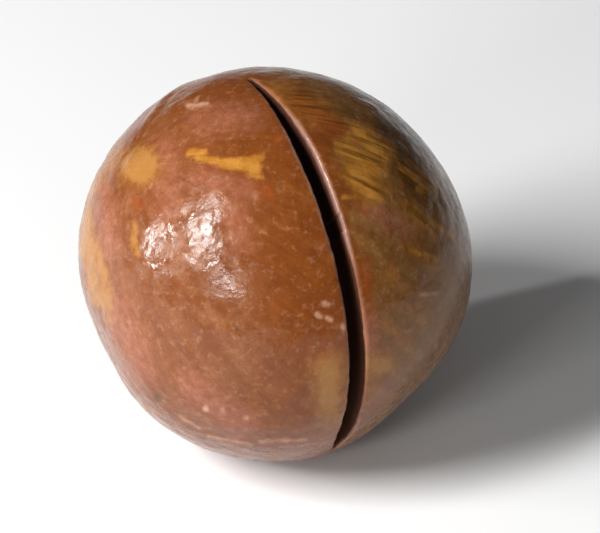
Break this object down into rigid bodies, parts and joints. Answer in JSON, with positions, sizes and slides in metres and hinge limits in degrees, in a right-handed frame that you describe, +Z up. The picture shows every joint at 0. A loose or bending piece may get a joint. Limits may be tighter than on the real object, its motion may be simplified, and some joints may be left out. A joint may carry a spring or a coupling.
{
  "type": "macadamia nut in shell",
  "caption": "Roasted macadamia nut in its round brown shell, with a sawn slit part of the way round for cracking it open.",
  "frame": {"origin": "on the surface the nut rests on, under the middle of its box, in the small flat spot at the bottom of the shell", "axes": "+Z up as the nut lies; -Y towards the viewer of the picture, with the saw cut running down the front to the right of the middle; +X to the right"},
  "size_m": [0.0252, 0.0252, 0.0251],
  "materials": {
    "shell": "hard woody shell, roasted and polished to a soft shine, brown with gold flecks"
  },
  "bodies": {
    "root": {"nut": "shell"}
  },
  "joints": []
}
